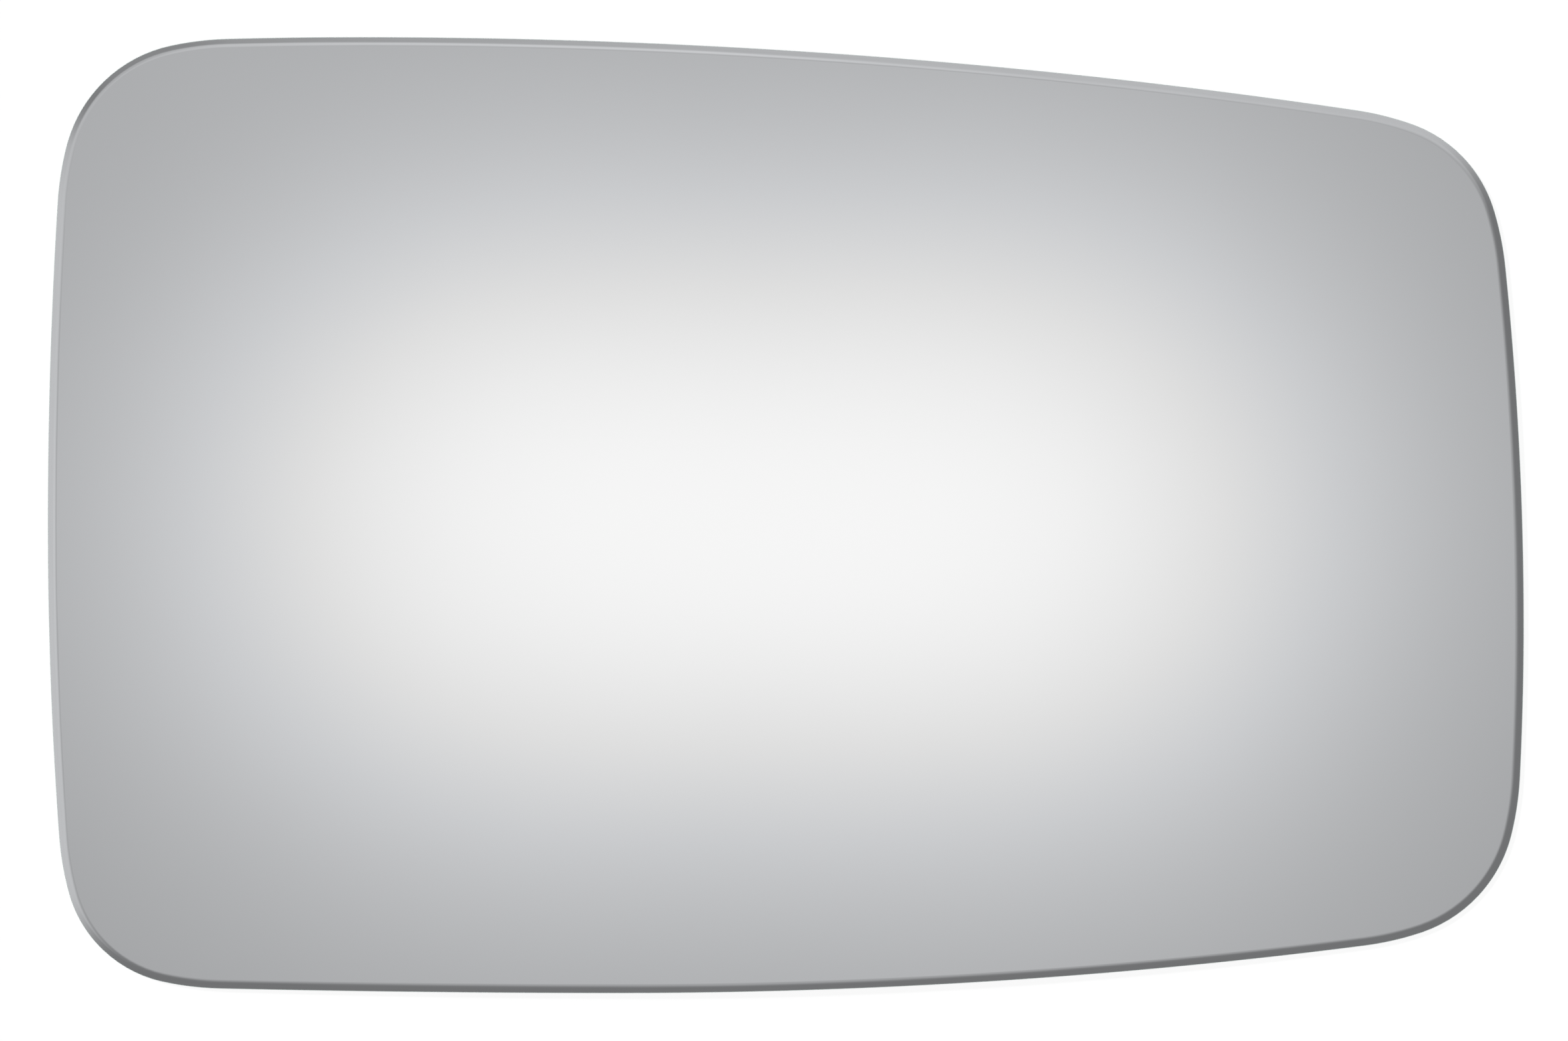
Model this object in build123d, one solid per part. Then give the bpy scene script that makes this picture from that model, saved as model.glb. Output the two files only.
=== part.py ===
from build123d import *

import os
from math import atan2, cos, degrees, hypot, radians, sin, sqrt

# Car door mirror glass: one piece of silvered sheet glass, bent to a shallow dome and cut to a
# rounded outline that tapers to the right, with a ground bevel round the mirror face and a small
# round along the back edge.  Millimetres.  The glass lies on its rim with the mirror face up (+Z), and
# +X and +Y point to the right and the top of the glass as it is looked into.

# Overall size of the glass, looked at from the front
glass_width = 170.0
glass_height = 110.0
glass_thickness = 2.0

# Spherical bend of the glass: radius of the mirror face, and where its highest point lies,
# measured from the middle of the overall size
dome_radius = 1400.0
dome_top_x = -1.2
dome_top_y = -0.1

# Each side touches the overall size at one point, and bows away from it on a radius of its own
# each way
left_touch_from_bottom = 53.9
left_bow_lower = 510.0
left_bow_upper = 630.0
top_touch_from_left = 34.7
top_bow_left = 600.0
top_bow_right = 805.0
right_touch_from_bottom = 42.1
right_bow_upper = 410.0
right_bow_lower = 360.0
bottom_touch_from_left = 65.2
bottom_bow_right = 695.0
bottom_bow_left = 2260.0

# Corner arcs, and the easing arcs at both ends of each, which take the first and the last degrees of
# its turn on a larger radius, so that it runs into the two sides softly
corner_top_left = 15.7
corner_top_right = 15.1
corner_bottom_right = 15.9
corner_bottom_left = 14.3
easing_radius = 35.0
easing_turn = 11.0

# Ground edge: the bevel round the mirror face, the soft shoulder where it runs into that face,
# and the round that takes the sharpness off the back
bevel_width = 0.8
bevel_depth = 0.35
shoulder_radius = 1.3
back_edge_radius = 0.3


class BowedSide:
    """One side of the outline: two arcs that meet, tangent, where it touches the overall size."""

    def __init__(self, touch_x, touch_y, outward, radius_before, radius_after):
        self.touch = Vector(touch_x, touch_y)
        self.outward = Vector(*outward)
        self.radius_before = radius_before
        self.radius_after = radius_after
        self.centre_before = self.touch - self.outward * radius_before
        self.centre_after = self.touch - self.outward * radius_after


def past_easing(side_radius, corner_radius):
    """How far the centre of a corner lies from the centre of a side, past the easing arc between
    them, and how many degrees it lies round from the point where the side gives way to that arc."""
    to_easing = side_radius - easing_radius
    to_corner = easing_radius - corner_radius
    along = to_easing + to_corner * cos(radians(easing_turn))
    across = to_corner * sin(radians(easing_turn))
    return hypot(along, across), degrees(atan2(across, along))


def outer_meeting(first, reach_first, second, reach_second, outward):
    """The outer one of the two points that lie at a given reach from each of two centres."""
    apart = (second - first).length
    along = (reach_first**2 - reach_second**2 + apart**2) / (2 * apart)
    across = sqrt(reach_first**2 - along**2)
    direction = (second - first).normalized()
    foot = first + direction * along
    sideways = Vector(-direction.Y, direction.X) * across
    return max(foot + sideways, foot - sideways, key=lambda point: point.dot(outward))


def corner_arcs(side, next_side, radius):
    """Centre, start and end of the three arcs of a corner: easing, corner and easing, each tangent to
    the one before it and the last tangent to the next side."""
    first, second = side.centre_after, next_side.centre_before
    reach_first, lag = past_easing(side.radius_after, radius)
    reach_second, lead = past_easing(next_side.radius_before, radius)
    centre = outer_meeting(first, reach_first, second, reach_second, side.outward + next_side.outward)
    leaving = (centre - first).normalized().rotate(Axis.Z, lag)
    arriving = (centre - second).normalized().rotate(Axis.Z, -lead)
    start = first + leaving * side.radius_after
    end = second + arriving * next_side.radius_before
    corner_start = centre + leaving.rotate(Axis.Z, -easing_turn) * radius
    corner_end = centre + arriving.rotate(Axis.Z, easing_turn) * radius
    return [
        (start - leaving * easing_radius, start, corner_start),
        (centre, corner_start, corner_end),
        (end - arriving * easing_radius, corner_end, end),
    ]


def arc_about(centre, start, end):
    """The shorter arc about a centre from one point to another."""
    radius = (start - centre).length
    middle = centre + (start - centre + end - centre).normalized() * radius
    return ThreePointArc(start, middle, end)


def glass_outline():
    """The outline that the glass is cut to, clockwise from its left side, as one face."""
    left_x, right_x = -glass_width / 2, glass_width / 2
    bottom_y, top_y = -glass_height / 2, glass_height / 2
    sides = [
        BowedSide(left_x, bottom_y + left_touch_from_bottom, (-1, 0), left_bow_lower, left_bow_upper),
        BowedSide(left_x + top_touch_from_left, top_y, (0, 1), top_bow_left, top_bow_right),
        BowedSide(right_x, bottom_y + right_touch_from_bottom, (1, 0), right_bow_upper, right_bow_lower),
        BowedSide(left_x + bottom_touch_from_left, bottom_y, (0, -1), bottom_bow_right, bottom_bow_left),
    ]
    corner_radii = [corner_top_left, corner_top_right, corner_bottom_right, corner_bottom_left]

    corners = []
    for side, next_side, radius in zip(sides, sides[1:] + sides[:1], corner_radii):
        corners.append(corner_arcs(side, next_side, radius))

    edges = []
    for side, last_corner, corner in zip(sides, corners[-1:] + corners[:-1], corners):
        _, _, side_start = last_corner[-1]
        _, side_end, _ = corner[0]
        edges.append(arc_about(side.centre_before, side_start, side.touch))
        edges.append(arc_about(side.centre_after, side.touch, side_end))
        edges.extend(arc_about(*arc) for arc in corner)
    return make_face(edges)


def bent_sheet():
    """The bent sheet that the glass is cut from: the shell between two spheres about one centre,
    with the top of the mirror face at Z = 0.  The poles of the spheres lie along Y, off the glass."""
    centre = Location((dome_top_x, dome_top_y, -dome_radius), (90, 0, 0))
    return Sphere(dome_radius).moved(centre) - Sphere(dome_radius - glass_thickness).moved(centre)


def mirror_face(glass):
    """The domed front of the glass."""
    return glass.faces().filter_by(GeomType.SPHERE).sort_by(Axis.Z)[-1]


def back_face(glass):
    """The hollow back of the glass."""
    return glass.faces().filter_by(GeomType.SPHERE).sort_by(Axis.Z)[0]


def mirror_glass():
    """The finished glass, with the lowest points of its rim at Z = 0."""
    cut_reach = max(glass_width, glass_height)
    glass = bent_sheet() & extrude(glass_outline(), cut_reach, both=True)
    glass = chamfer(mirror_face(glass).edges(), bevel_width, bevel_depth, reference=mirror_face(glass))
    glass = fillet(mirror_face(glass).edges(), shoulder_radius)
    glass = fillet(back_face(glass).edges(), back_edge_radius)
    return glass.moved(Location((0, 0, -glass.bounding_box().min.Z)))


os.makedirs("parts", exist_ok=True)
export_step(mirror_glass(), "parts/mirror_glass.step")
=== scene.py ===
import math

import bpy
import numpy as np
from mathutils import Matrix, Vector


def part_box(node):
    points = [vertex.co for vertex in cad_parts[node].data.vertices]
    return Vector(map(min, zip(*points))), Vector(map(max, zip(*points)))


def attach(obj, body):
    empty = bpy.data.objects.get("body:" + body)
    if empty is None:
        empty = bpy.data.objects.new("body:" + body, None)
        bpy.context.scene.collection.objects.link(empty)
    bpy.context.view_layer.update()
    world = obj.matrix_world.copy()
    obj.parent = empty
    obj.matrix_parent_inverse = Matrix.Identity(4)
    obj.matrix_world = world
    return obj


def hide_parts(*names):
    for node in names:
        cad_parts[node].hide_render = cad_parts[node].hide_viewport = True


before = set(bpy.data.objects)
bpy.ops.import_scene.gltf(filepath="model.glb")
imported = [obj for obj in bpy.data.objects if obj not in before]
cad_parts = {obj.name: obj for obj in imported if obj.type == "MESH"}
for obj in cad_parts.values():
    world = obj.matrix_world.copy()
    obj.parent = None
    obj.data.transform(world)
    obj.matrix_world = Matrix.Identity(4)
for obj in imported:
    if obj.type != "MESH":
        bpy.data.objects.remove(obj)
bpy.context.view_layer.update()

# The mirror glass
# One sheet of clear float glass, cut to a rounded outline that tapers to the right, bent to a shallow
# dome, ground round its edge on a diamond wheel, and silvered and lacquered on the back.  It is bonded
# to its holder by the back, so nothing clips over the rim.
glass_low, glass_high = (np.array(corner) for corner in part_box("mirror_glass"))
glass_left, glass_bottom, _ = glass_low
glass_right, glass_top, dome_top_z = glass_high
glass_thickness = 0.0020
dome_radius = 1.400
hollow_radius = dome_radius - glass_thickness
dome_top = np.array([-0.0012, -0.0001])

# Each side touches the overall size at one point and bows away from it on a radius each way
left_touch_from_bottom = 0.0539
left_bow_lower = 0.510
left_bow_upper = 0.630
top_touch_from_left = 0.0347
top_bow_left = 0.600
top_bow_right = 0.805
right_touch_from_bottom = 0.0421
right_bow_upper = 0.410
right_bow_lower = 0.360
bottom_touch_from_left = 0.0652
bottom_bow_right = 0.695
bottom_bow_left = 2.260

# Radii of the corners, and the easing arcs at both ends of each, which take the first and the last
# degrees of its turn
corner_top_left = 0.0157
corner_top_right = 0.0151
corner_bottom_right = 0.0159
corner_bottom_left = 0.0143
easing_radius = 0.035
easing_turn = math.radians(11)

# The sides clockwise from the left one, as point, outward direction, and radius before and after, and
# the corners, each between a side and the next
bowed_sides = [
    ((glass_left, glass_bottom + left_touch_from_bottom), (-1, 0), left_bow_lower, left_bow_upper),
    ((glass_left + top_touch_from_left, glass_top), (0, 1), top_bow_left, top_bow_right),
    ((glass_right, glass_bottom + right_touch_from_bottom), (1, 0), right_bow_upper, right_bow_lower),
    ((glass_left + bottom_touch_from_left, glass_bottom), (0, -1), bottom_bow_right, bottom_bow_left),
]
corner_radii = [corner_top_left, corner_top_right, corner_bottom_right, corner_bottom_left]

# The ground edge in section: a bevel with a soft shoulder, its outer edge dulled by the wheel, and
# a round along the back
bevel_width = 0.0008
bevel_depth = 0.00035
shoulder_radius = 0.0013
dulled_radius = 0.0001
back_edge_radius = 0.0003
bevel_tilt = math.atan2(bevel_depth, bevel_width)
shoulder_steps = 10
dulled_steps = 6
back_edge_steps = 8


def turned(way, angle):
    """A direction in plan, turned anticlockwise by an angle."""
    across = np.array([-way[1], way[0]])
    return way * math.cos(angle) + across * math.sin(angle)


def past_easing(side_radius, corner_radius):
    """How far the centre of a corner lies from the centre of a side, past the easing arc between them,
    and the angle there from the point where the side gives way to that arc: two steps, from centre to
    centre to centre, of the differences of the radii, with the easing turn between them."""
    along = side_radius - easing_radius + (easing_radius - corner_radius) * math.cos(easing_turn)
    across = (easing_radius - corner_radius) * math.sin(easing_turn)
    return math.hypot(along, across), math.atan2(across, along)


def outer_meeting(first, reach_first, second, reach_second, outward):
    """The outer one of the two points that lie at a given reach from each of two centres: the foot
    on the line between the centres, and the rest of the reach square to it."""
    apart = np.linalg.norm(second - first)
    along = (reach_first**2 - reach_second**2 + apart**2) / (2 * apart)
    across = math.sqrt(reach_first**2 - along**2)
    direction = (second - first) / apart
    foot = first + direction * along
    sideways = np.array([-direction[1], direction[0]]) * across
    return max(foot + sideways, foot - sideways, key=lambda point: point @ outward)


def corner_arcs(outward, first, radius_first, second, radius_second, radius):
    """The three arcs of a corner, easing, corner and easing, as centre, radius, start and end directions.
    The centres of the two sides' arcs are first and second, and each arc runs into the next smoothly."""
    reach_first, lag = past_easing(radius_first, radius)
    reach_second, lead = past_easing(radius_second, radius)
    centre = outer_meeting(first, reach_first, second, reach_second, outward)
    leaving = turned((centre - first) / reach_first, lag)
    arriving = turned((centre - second) / reach_second, -lead)
    corner_start, corner_end = turned(leaving, -easing_turn), turned(arriving, easing_turn)
    return [
        (first + leaving * (radius_first - easing_radius), easing_radius, leaving, corner_start),
        (centre, radius, corner_start, corner_end),
        (second + arriving * (radius_second - easing_radius), easing_radius, corner_end, arriving),
    ]


def outline_arcs():
    """Centres, radii, start angles and clockwise sweeps of the twenty arcs of the outline: each side is
    two arcs about centres straight inside its touching point, followed by the three arcs of a corner."""
    sides = []
    for touch, outward, before, after in bowed_sides:
        touch, outward = np.array(touch), np.array(outward)
        sides.append((outward, before, after, touch - outward * before, touch - outward * after))
    corners = []
    for side, next_side, radius in zip(sides, sides[1:] + sides[:1], corner_radii):
        outward, _, after, _, first = side
        next_outward, before, _, second, _ = next_side
        corners.append(corner_arcs(outward + next_outward, first, after, second, before, radius))
    arcs = []
    for side, last_corner, corner in zip(sides, corners[-1:] + corners[:-1], corners):
        outward, before, after, centre_before, centre_after = side
        _, _, _, side_start = last_corner[-1]
        _, _, side_end, _ = corner[0]
        arcs.append((centre_before, before, side_start, outward))
        arcs.append((centre_after, after, outward, side_end))
        arcs.extend(corner)
    centres, radii, start_ways, end_ways = (np.array(column) for column in zip(*arcs))
    starts = np.arctan2(start_ways[:, 1], start_ways[:, 0])
    ends = np.arctan2(end_ways[:, 1], end_ways[:, 0])
    return centres, radii, starts, (starts - ends) % (2 * math.pi)


arc_centres, arc_radii, arc_start_angles, arc_sweeps = outline_arcs()
arc_lengths = arc_radii * arc_sweeps
arc_ends_at = np.cumsum(arc_lengths)
arc_starts_at = arc_ends_at - arc_lengths
outline_length = arc_ends_at[-1]


def outline_at(distance):
    """Points of the outline, and its outward directions there, at distances along it: the arc that
    holds the distance, turned clockwise by what is left of the distance over the arc's radius."""
    distance = distance % outline_length
    arc = np.minimum(np.searchsorted(arc_ends_at, distance, side="right"), len(arc_radii) - 1)
    left_over = distance - arc_starts_at[arc]
    angle = arc_start_angles[arc] - left_over / arc_radii[arc]
    outward = np.stack([np.cos(angle), np.sin(angle)], axis=-1)
    return arc_centres[arc] + arc_radii[arc, None] * outward, outward


def sphere_level(plan, radius):
    """Height over points in plan of a sphere about the dome's centre: the height of that centre, and the
    root of the square of the radius less the squared distance from the dome's top."""
    away = ((plan - dome_top) ** 2).sum(-1)
    return dome_top_z - dome_radius + np.sqrt(radius**2 - away)


def dome_normal(points):
    """Direction away from the centre of the dome's spheres."""
    centre = np.array([*dome_top, dome_top_z - dome_radius])
    return (points - centre) / np.linalg.norm(points - centre, axis=-1, keepdims=True)


def front_section():
    """The bevel in section, from the mirror face outwards: inset from the outline, depth below the
    face, and tilt from it.  The shoulder and the dulled edge are arcs with the flat between them."""
    shoulder_start = bevel_width + shoulder_radius * math.tan(bevel_tilt / 2)
    tilt = np.linspace(0, bevel_tilt, shoulder_steps + 1)
    shoulder_inset = shoulder_start - shoulder_radius * np.sin(tilt)
    shoulder = [shoulder_inset, shoulder_radius * (1 - np.cos(tilt)), tilt]
    tilt = np.linspace(bevel_tilt, math.pi / 2, dulled_steps + 1)
    dulled_depth = bevel_depth + dulled_radius * math.tan((math.pi / 2 - bevel_tilt) / 2)
    dulled = [dulled_radius * (1 - np.sin(tilt)), dulled_depth - dulled_radius * np.cos(tilt), tilt]
    return np.concatenate([np.transpose(shoulder), np.transpose(dulled)])


def back_section():
    """The round along the back in section, from the wall inwards: inset from the outline, height over
    the back, and tilt from the face, along a quarter of a circle."""
    tilt = np.linspace(math.pi / 2, math.pi, back_edge_steps + 1)
    inset = back_edge_radius * (1 - np.sin(tilt))
    height = back_edge_radius * (1 + np.cos(tilt))
    return np.transpose([inset, height, tilt])


# The front and back are square grids pulled out to the outline, ring by ring, so that they need no
# pole: the corners of each square ring lie towards the corners of the glass.
rings = 72
grid_side = 2 * rings + 1


def ring_places():
    """Share of the way out, and distance along the outline, for each point of the square grid: the
    larger of the point's two coordinates, and its place on that square ring, stretched side by side
    until the ring's corners fall on the middles of the outline's corner arcs."""
    line = np.linspace(-1, 1, grid_side)
    across, up = np.meshgrid(line, line)
    out = np.maximum(np.abs(across), np.abs(up))
    size = np.where(out == 0, 1, out)
    on_top = (up == out) & (across < out)
    on_right = (across == out) & (up > -out)
    on_bottom = (up == -out) & (across > -out)
    place = np.select(
        [on_top, on_right, on_bottom],
        [(1 + across / size) / 2, 1 + (1 - up / size) / 2, 2 + (1 - across / size) / 2],
        3 + (1 + up / size) / 2,
    )
    # A side has two arcs and its corner three, and the fourth of these five is the corner arc itself
    arc_middles = arc_ends_at - arc_lengths / 2
    corner_middles = arc_middles[3::5]
    corner_places = np.append(corner_middles, corner_middles[0] + outline_length)
    return out, np.interp(place, np.arange(len(corner_places)), corner_places)


share_out, along_outline = ring_places()
on_rim = np.flatnonzero(share_out == 1)
on_rim = on_rim[np.argsort(along_outline.ravel()[on_rim])]
rim_distance = along_outline.ravel()[on_rim]


def domed_sheet(inset, radius):
    """One face of the glass: each ring of the grid is the outline, moved in by the inset and drawn
    towards the dome's top by its share, at the level of the sphere there."""
    points, outward = outline_at(along_outline)
    plan = dome_top + share_out[..., None] * (points - outward * inset - dome_top)
    level = sphere_level(plan, radius)
    return np.concatenate([plan, level[..., None]], axis=-1).reshape(-1, 3)


def ground_band():
    """The edge of the glass, as rows of points from the face to the back, with their outward normals:
    the two sections carried round the outline, each measured from the sphere that it belongs to."""
    points, outward = outline_at(rim_distance)
    front_inset, front_depth, front_tilt = front_section().T
    back_inset, back_height, back_tilt = back_section().T
    plan_front = points - outward * front_inset[:, None, None]
    plan_back = points - outward * back_inset[:, None, None]
    level_front = sphere_level(plan_front, dome_radius) - front_depth[:, None]
    level_back = sphere_level(plan_back, hollow_radius) + back_height[:, None]
    plan = np.concatenate([plan_front, plan_back])
    level = np.concatenate([level_front, level_back])
    band = np.concatenate([plan, level[..., None]], axis=-1)
    tilt = np.concatenate([front_tilt, back_tilt])[:, None, None]
    sideways = np.concatenate([outward, np.zeros((len(outward), 1))], axis=1)
    normals = np.cos(tilt) * dome_normal(band) + np.sin(tilt) * sideways
    return band, normals / np.linalg.norm(normals, axis=-1, keepdims=True)


def edge_paths(band):
    """A place on the edge for each of its points, in which the lines of the grinding wheel are drawn:
    the distance along the outline, wound into a circle so that it closes, and the distance across."""
    turn = 2 * math.pi * rim_distance / outline_length
    circle_radius = outline_length / (2 * math.pi)
    circle = circle_radius * np.stack([np.cos(turn), np.sin(turn)], axis=-1)
    across = np.cumsum(np.linalg.norm(np.diff(band, axis=0, prepend=band[:1]), axis=-1), axis=0)
    return np.concatenate([np.broadcast_to(circle, (*across.shape, 2)), across[..., None]], axis=-1)


def glass_mesh():
    """The closed glass: the mirror face, the band of the edge and the back, joined along the rims of
    the two faces, which are the first and last rows of the band."""
    band, band_normals = ground_band()
    face_inset, _, _ = front_section()[0]
    back_inset, _, _ = back_section()[-1]
    face = domed_sheet(face_inset, dome_radius)
    back = domed_sheet(back_inset, hollow_radius)
    rows, columns = band.shape[:2]
    between = (rows - 2) * columns
    back_start = len(face) + between
    vertices = np.concatenate([face, band[1:-1].reshape(-1, 3), back])
    normals = np.concatenate([dome_normal(face), band_normals[1:-1].reshape(-1, 3), -dome_normal(back)])

    band_index = np.concatenate([
        on_rim[None],
        len(face) + np.arange(between).reshape(rows - 2, columns),
        back_start + on_rim[None],
    ])
    next_index = np.roll(band_index, -1, axis=1)
    band_quads = np.stack([band_index[:-1], next_index[:-1], next_index[1:], band_index[1:]], axis=-1)
    cell = np.arange(grid_side**2).reshape(grid_side, grid_side)
    face_quads = np.stack([cell[:-1, :-1], cell[:-1, 1:], cell[1:, 1:], cell[1:, :-1]], axis=-1)
    face_quads = face_quads.reshape(-1, 4)
    quads = np.concatenate([face_quads, band_quads.reshape(-1, 4), face_quads[:, ::-1] + back_start])

    mesh = bpy.data.meshes.new("door_mirror_glass")
    mesh.from_pydata(vertices, [], quads)
    mesh.polygons.foreach_set("use_smooth", np.ones(len(quads), bool))

    # Finishes in turn: the silvered face, the bevel with its shoulder, the wall with the dulled edge
    # and the back round, and the lacquered back
    bevel_count = (shoulder_steps + 1) * columns
    wall_count = (rows - 1) * columns - bevel_count
    finish = np.repeat([0, 1, 2, 3], [len(face_quads), bevel_count, wall_count, len(face_quads)])
    mesh.polygons.foreach_set("material_index", finish.astype(np.int32))

    path_on_edge = np.zeros(vertices.shape)
    path_on_edge[band_index] = edge_paths(band)
    attribute = mesh.attributes.new("path_on_edge", "FLOAT_VECTOR", "POINT")
    attribute.data.foreach_set("vector", path_on_edge.ravel())
    mesh.update()
    mesh.normals_split_custom_set_from_vertices(normals)
    return mesh


glass = bpy.data.objects.new("door_mirror_glass", glass_mesh())
bpy.context.scene.collection.objects.link(glass)
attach(glass, "root")
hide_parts("mirror_glass")


def set_inputs(tree, node, inputs):
    """Sets a node's inputs by name or number, each to a value, a colour or another node's socket."""
    for name, value in inputs.items():
        if isinstance(value, bpy.types.NodeSocket):
            tree.links.new(value, node.inputs[name])
        else:
            node.inputs[name].default_value = value


def add_node(tree, kind, inputs=None, **settings):
    """A new node of a kind, with its settings and inputs."""
    node = tree.nodes.new(kind)
    for name, value in settings.items():
        setattr(node, name, value)
    set_inputs(tree, node, inputs or {})
    return node


def new_group(name, inputs, output):
    """A shader node group with named inputs and one value put out, and the sockets at its two ends."""
    group = bpy.data.node_groups.new(name, "ShaderNodeTree")
    for socket, kind in inputs.items():
        group.interface.new_socket(socket, in_out="INPUT", socket_type=kind)
    group.interface.new_socket(output, in_out="OUTPUT", socket_type="NodeSocketFloat")
    return group, group.nodes.new("NodeGroupInput").outputs, group.nodes.new("NodeGroupOutput").inputs


def fine_grain_group():
    """Soft cloudy noise at a scale, spread between a low and a high value."""
    kinds = {"Place": "NodeSocketVector"}
    kinds.update({name: "NodeSocketFloat" for name in ("Scale", "Low", "High")})
    group, given, result = new_group("fine_grain", kinds, "Value")
    noise = add_node(group, "ShaderNodeTexNoise", {
        "Vector": given["Place"], "Scale": given["Scale"], "Detail": 2.5, "Roughness": 0.55,
    })
    spread = add_node(group, "ShaderNodeMapRange", {
        "Value": noise.outputs["Fac"], "From Min": 0.3, "From Max": 0.7,
        "To Min": given["Low"], "To Max": given["High"],
    })
    group.links.new(spread.outputs["Result"], result["Value"])
    return group


def wheel_lines_group():
    """The lines that a grinding wheel leaves: noise that is long along the edge and fine across it,
    spread between a low value in the grooves and a high one on the ridges."""
    kinds = {"Path": "NodeSocketVector", "Stretch": "NodeSocketVector"}
    kinds.update({name: "NodeSocketFloat" for name in ("Low", "High")})
    group, given, result = new_group("wheel_lines", kinds, "Value")
    stretched = add_node(group, "ShaderNodeVectorMath", {
        0: given["Path"], 1: given["Stretch"],
    }, operation="MULTIPLY")
    noise = add_node(group, "ShaderNodeTexNoise", {
        "Vector": stretched.outputs["Vector"], "Scale": 1.0, "Detail": 3.0, "Roughness": 0.6,
    })
    spread = add_node(group, "ShaderNodeMapRange", {
        "Value": noise.outputs["Fac"], "From Min": 0.25, "From Max": 0.75,
        "To Min": given["Low"], "To Max": given["High"],
    })
    group.links.new(spread.outputs["Result"], result["Value"])
    return group


fine_grain = fine_grain_group()
wheel_lines = wheel_lines_group()
wheel_line_length = 0.009
wheel_line_width = 0.0002
wheel_stretch = (1 / wheel_line_length, 1 / wheel_line_length, 1 / wheel_line_width)


def grain(tree, scale, low, high):
    """Fine grain over a finish, at a scale per metre, between two values."""
    place = add_node(tree, "ShaderNodeTexCoord").outputs["Object"]
    inputs = {"Place": place, "Scale": scale, "Low": low, "High": high}
    return add_node(tree, "ShaderNodeGroup", inputs, node_tree=fine_grain).outputs["Value"]


def edge_place(tree):
    """The place on the edge that the mesh keeps for each of its points."""
    return add_node(tree, "ShaderNodeAttribute", attribute_name="path_on_edge").outputs["Vector"]


def lines(tree, low, high):
    """Wheel lines along the edge, between two values."""
    inputs = {"Path": edge_place(tree), "Stretch": wheel_stretch, "Low": low, "High": high}
    return add_node(tree, "ShaderNodeGroup", inputs, node_tree=wheel_lines).outputs["Value"]


def colour_between(tree, share, first, second):
    """A colour on the way from one to another, by a share."""
    ramp = add_node(tree, "ShaderNodeValToRGB", {"Fac": share})
    for stop, colour in zip(ramp.color_ramp.elements, (first, second)):
        stop.color = (*colour, 1)
    return ramp.outputs["Color"]


def relief(tree, height, depth):
    """Normals of a surface roughened to a depth in metres by a height from 0 to 1."""
    return add_node(tree, "ShaderNodeBump", {"Height": height, "Distance": depth}).outputs["Normal"]


def new_finish(name):
    """The glass's next finish: a node material, given as its tree and its shader."""
    material = bpy.data.materials.new(name)
    material.use_nodes = True
    glass.data.materials.append(material)
    return material.node_tree, material.node_tree.nodes["Principled BSDF"]


def silvered_face():
    """Silver behind clear glass: a clean mirror with a trace of polishing haze."""
    tree, shader = new_finish("silvered_face")
    haze = grain(tree, 25, 0, 1)
    set_inputs(tree, shader, {
        "Base Color": colour_between(tree, haze, (0.915, 0.915, 0.915), (0.925, 0.925, 0.925)),
        "Metallic": 1.0,
        "Roughness": grain(tree, 60, 0.012, 0.026),
    })


def ground_bevel():
    """The bevel: polished where its shoulder leaves the mirror face, and satin with wheel lines
    further out."""
    tree, shader = new_finish("ground_bevel")
    across = add_node(tree, "ShaderNodeSeparateXYZ", {0: edge_place(tree)}).outputs["Z"]
    satin = add_node(tree, "ShaderNodeMapRange", {
        "Value": across, "From Max": shoulder_radius * bevel_tilt, "To Min": 0.02, "To Max": 0.09,
    }).outputs["Result"]
    uneven = add_node(tree, "ShaderNodeMath", {0: satin, 1: lines(tree, 0.7, 1.3)}, operation="MULTIPLY")
    set_inputs(tree, shader, {
        "Base Color": colour_between(tree, lines(tree, 0, 1), (0.90, 0.90, 0.90), (0.94, 0.94, 0.94)),
        "Metallic": 1.0,
        "Roughness": uneven.outputs["Value"],
        "Normal": relief(tree, lines(tree, 0, 1), 0.000001),
    })


def ground_wall():
    """The wall of the edge: frosted glass, pale grey-green, with the deeper lines of the first wheel."""
    tree, shader = new_finish("ground_wall")
    set_inputs(tree, shader, {
        "Base Color": colour_between(tree, lines(tree, 0, 1), (0.47, 0.53, 0.51), (0.60, 0.655, 0.635)),
        "Roughness": lines(tree, 0.38, 0.55),
        "IOR": 1.52,
        "Normal": relief(tree, lines(tree, 0, 1), 0.000002),
    })


def lacquered_back():
    """The lacquer over the silver: sprayed mid grey with a fine orange peel."""
    tree, shader = new_finish("lacquered_back")
    set_inputs(tree, shader, {
        "Base Color": colour_between(tree, grain(tree, 40, 0, 1), (0.20, 0.21, 0.22), (0.24, 0.25, 0.26)),
        "Roughness": grain(tree, 250, 0.36, 0.48),
        "Normal": relief(tree, grain(tree, 900, 0, 1), 0.00001),
    })


silvered_face()
ground_bevel()
ground_wall()
lacquered_back()

# The floor
# A plain white studio table, large enough to run out of sight from every side.  To the camera and in
# the mirror nearly all its white is a glow of its own, so that only a faint shadow of the glass shows.
floor_half = 6.0
floor_glow = 0.92
floor_shade = 0.09
floor_mesh = bpy.data.meshes.new("studio_floor")
floor_corners = floor_half * np.array([[-1, -1, 0], [1, -1, 0], [1, 1, 0], [-1, 1, 0]])
floor_mesh.from_pydata(floor_corners, [], [(0, 1, 2, 3)])
floor = bpy.data.objects.new("studio_floor", floor_mesh)
bpy.context.scene.collection.objects.link(floor)


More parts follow.
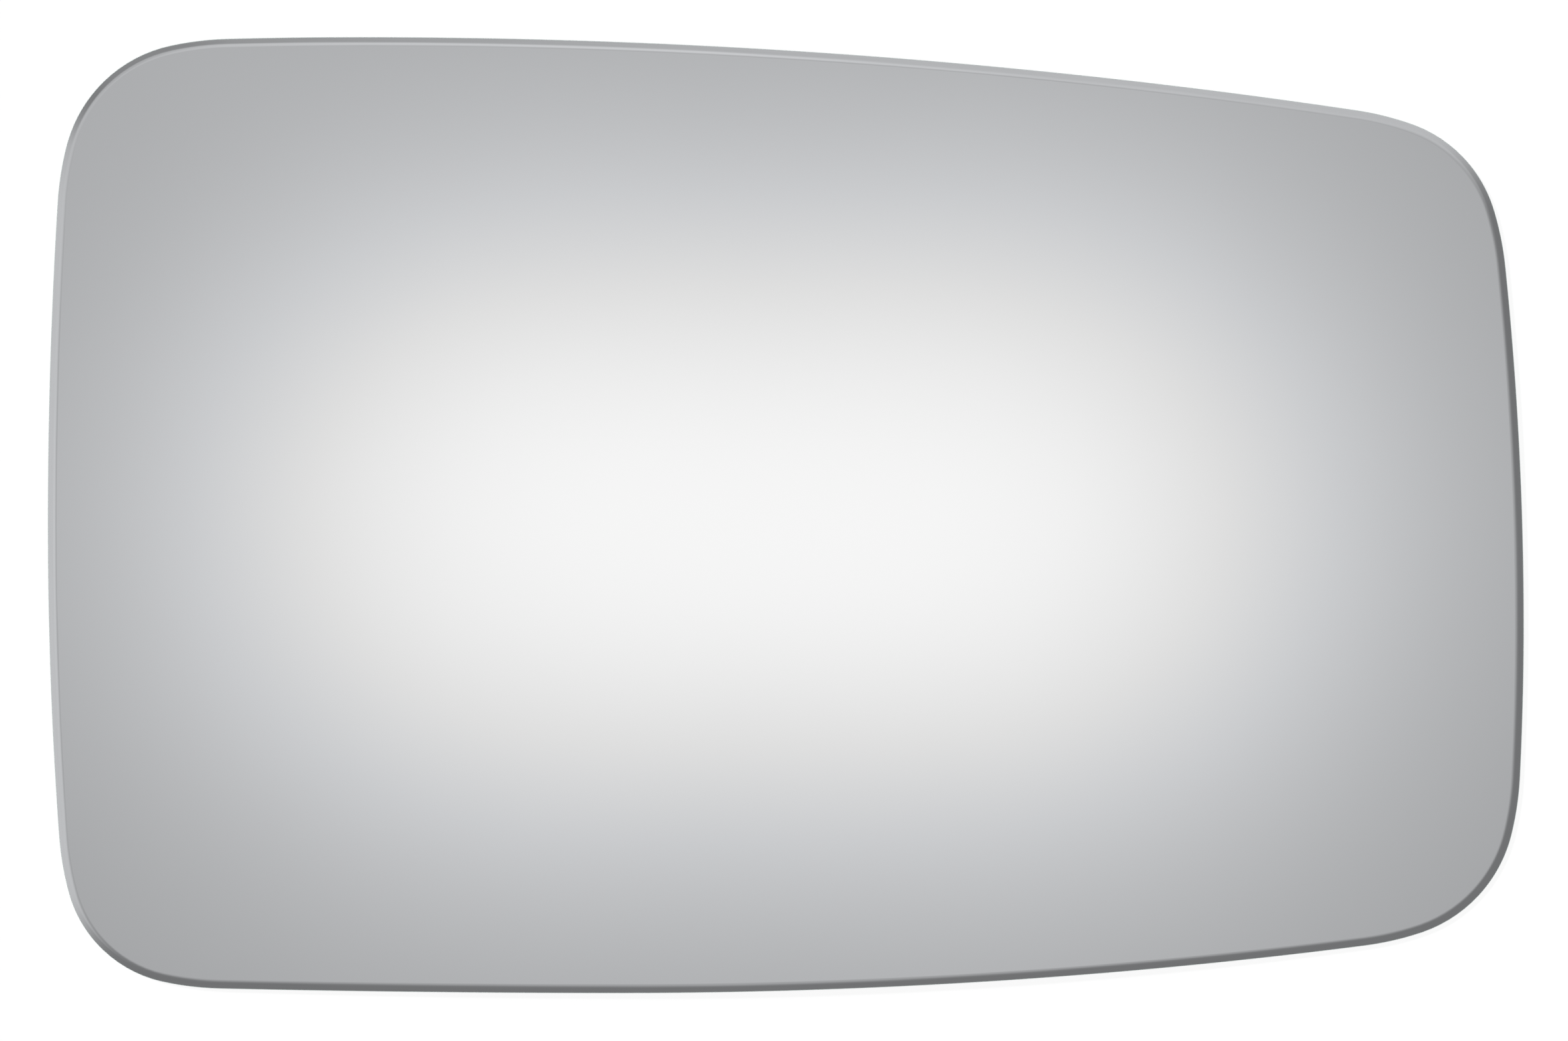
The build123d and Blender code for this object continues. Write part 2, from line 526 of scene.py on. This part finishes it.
def floor_white():
    """White paper that lights the glass as paper does, and shows the camera and the mirror its glow
    with a little of the light that falls on it."""
    material = bpy.data.materials.new("floor_white")
    material.use_nodes = True
    tree = material.node_tree
    tree.nodes.clear()
    paper = add_node(tree, "ShaderNodeBsdfDiffuse", {"Color": (0.8, 0.8, 0.8, 1)})
    glow = add_node(tree, "ShaderNodeEmission", {"Strength": floor_glow})
    shade = add_node(tree, "ShaderNodeBsdfDiffuse", {"Color": (floor_shade, floor_shade, floor_shade, 1)})
    shown = add_node(tree, "ShaderNodeAddShader", {0: glow.outputs[0], 1: shade.outputs[0]})
    path = add_node(tree, "ShaderNodeLightPath")
    seen = add_node(tree, "ShaderNodeMath", {
        0: path.outputs["Is Camera Ray"], 1: path.outputs["Is Glossy Ray"],
    }, operation="MAXIMUM")
    surface = add_node(tree, "ShaderNodeMixShader", {
        0: seen.outputs[0], 1: paper.outputs[0], 2: shown.outputs[0],
    })
    add_node(tree, "ShaderNodeOutputMaterial", {"Surface": surface.outputs[0]})
    return material


floor_mesh.materials.append(floor_white())

# The studio
# What the mirror looks into: a grey room with a white sweep round the horizon, a pale square ceiling
# with a soft strip light on it, three pale panels round the walls and two softboxes near the floor.
world = bpy.data.worlds.new("studio")
bpy.context.scene.world = world
world.use_nodes = True
studio = world.node_tree
studio.nodes.clear()
direction = add_node(studio, "ShaderNodeTexCoord").outputs["Generated"]
east, north, up = add_node(studio, "ShaderNodeSeparateXYZ", {0: direction}).outputs


def studio_math(operation, *values):
    """A math node of the studio, fed with numbers or sockets."""
    return add_node(studio, "ShaderNodeMath", dict(enumerate(values)), operation=operation).outputs[0]


def soft_light(distance, width, strength, power=2.0):
    """A light with soft sides: its strength times e to the minus s, where s is the distance over the
    width, raised to a power."""
    share = studio_math("ABSOLUTE", studio_math("DIVIDE", distance, width))
    fall = studio_math("MULTIPLY", studio_math("POWER", share, power), -1.0)
    return studio_math("MULTIPLY", studio_math("EXPONENT", fall), strength)


def distance_from(azimuth, elevation):
    """How far a direction lies from another one, given in degrees, as the chord between them."""
    turn, rise = math.radians(azimuth), math.radians(elevation)
    towards = (math.cos(rise) * math.cos(turn), math.cos(rise) * math.sin(turn), math.sin(rise))
    chord = add_node(studio, "ShaderNodeVectorMath", {0: direction, 1: towards}, operation="DISTANCE")
    return chord.outputs["Value"]


def distance_off_strip(middle, softness):
    """How far a direction lies from the strip light overhead, which runs east and west: the root of the
    summed squares of its distances across and lengthways.  The one lengthways is the root of the summed
    squares of the offset from the strip's middle and a softness, less that softness."""
    offset = studio_math("SUBTRACT", east, middle)
    rounded = studio_math("SQRT", studio_math("MULTIPLY_ADD", offset, offset, softness**2))
    lengthways = studio_math("SUBTRACT", rounded, softness)
    across_square = studio_math("MULTIPLY", north, north)
    return studio_math("SQRT", studio_math("MULTIPLY_ADD", lengthways, lengthways, across_square))


def distance_cornerwise():
    """How far a direction lies from overhead, measured so that a square ceiling has its corners to the
    east, north, west and south: the sum of how far it lies east or west and north or south."""
    return studio_math("ADD", studio_math("ABSOLUTE", east), studio_math("ABSOLUTE", north))


wall_grey = 0.18
sweep_height = 0.13
sweep_strength = 0.75
ceiling_reach = 0.60
ceiling_strength = 0.23
strip_middle = -0.004
strip_width = 0.095
strip_strength = 0.59
# Powers in the fall of the light: the strip fades slowly, and the ceiling and panels have firmer sides
strip_power = 2.2
panel_power = 4.0
strip_distance = distance_off_strip(strip_middle, strip_width)
lights = [
    soft_light(up, sweep_height, sweep_strength),
    soft_light(distance_cornerwise(), ceiling_reach, ceiling_strength, panel_power),
    soft_light(strip_distance, strip_width, strip_strength, strip_power),
]
# Pale panels, set from the tones of the bevel: azimuth and elevation in degrees, width and
# strength
pale_panels = {
    "left wall": (185, 38, 0.46, 0.38),
    "beyond the top right": (65, 43, 0.48, 0.35),
    "beyond the top left": (125, 54, 0.36, 0.26),
}
for azimuth, elevation, width, strength in pale_panels.values():
    lights.append(soft_light(distance_from(azimuth, elevation), width, strength, panel_power))
# Softboxes near the floor, which the glass shows only to someone who looks along it
softboxes = {
    "upper left": (135, 22, 0.08, 0.65),
    "lower right": (315, 15, 0.08, 0.60),
}
for azimuth, elevation, width, strength in softboxes.values():
    lights.append(soft_light(distance_from(azimuth, elevation), width, strength))
light = wall_grey
for soft_part in lights:
    light = studio_math("ADD", light, soft_part)

# Grey light is a little cool, and bright light is white
cool_grey = (0.985, 1.0, 1.025)
whiteness = add_node(studio, "ShaderNodeMapRange", {"Value": light, "From Min": 0.65, "From Max": 0.80})
tint = colour_between(studio, whiteness.outputs["Result"], cool_grey, (1, 1, 1))
tinted = add_node(studio, "ShaderNodeVectorMath", {0: tint, "Scale": light}, operation="SCALE")
room = add_node(studio, "ShaderNodeBackground", {"Color": tinted.outputs[0]})
white = add_node(studio, "ShaderNodeBackground", {"Color": (1, 1, 1, 1)})
to_camera = add_node(studio, "ShaderNodeLightPath").outputs["Is Camera Ray"]
shown = add_node(studio, "ShaderNodeMixShader", {0: to_camera, 1: room.outputs[0], 2: white.outputs[0]})
add_node(studio, "ShaderNodeOutputWorld", {"Surface": shown.outputs[0]})

# The key lamp
# A lamp high on the upper left, kept out of the mirror's own view.  With the room it lights a level
# surface so that a colour comes out about as it is written.
key_azimuth = math.radians(145)
key_off_overhead = math.radians(24)
key = bpy.data.lights.new("key_lamp", "SUN")
key.angle = math.radians(4)
key.energy = 2.20
key_lamp = bpy.data.objects.new("key_lamp", key)
key_lamp.location = (
    math.sin(key_off_overhead) * math.cos(key_azimuth),
    math.sin(key_off_overhead) * math.sin(key_azimuth),
    math.cos(key_off_overhead),
)
key_lamp.rotation_euler = (-key_lamp.location).to_track_quat("-Z", "Y").to_euler()
key_lamp.visible_glossy = False
bpy.context.scene.collection.objects.link(key_lamp)

# The camera
# It looks straight down on the glass, from where the glass fills the frame as in the photograph.
photo_width, photo_height = 2362, 1568
glass_middle_px = (1183.85, 775.65)
glass_width_px = 2224.5
# Heights of the camera, and of the rim, where the glass has its full width
camera_height = 1.0
rim_height = 0.0025
metres_per_px = (glass_right - glass_left) / glass_width_px
camera_data = bpy.data.cameras.new("camera")
camera_data.lens = camera_data.sensor_width * (camera_height - rim_height) / (photo_width * metres_per_px)
camera = bpy.data.objects.new("camera", camera_data)
camera.location = (
    (photo_width / 2 - glass_middle_px[0]) * metres_per_px,
    (glass_middle_px[1] - photo_height / 2) * metres_per_px,
    camera_height,
)
bpy.context.scene.collection.objects.link(camera)
bpy.context.scene.camera = camera
bpy.context.scene.view_settings.view_transform = "Standard"

bpy.context.view_layer.update()
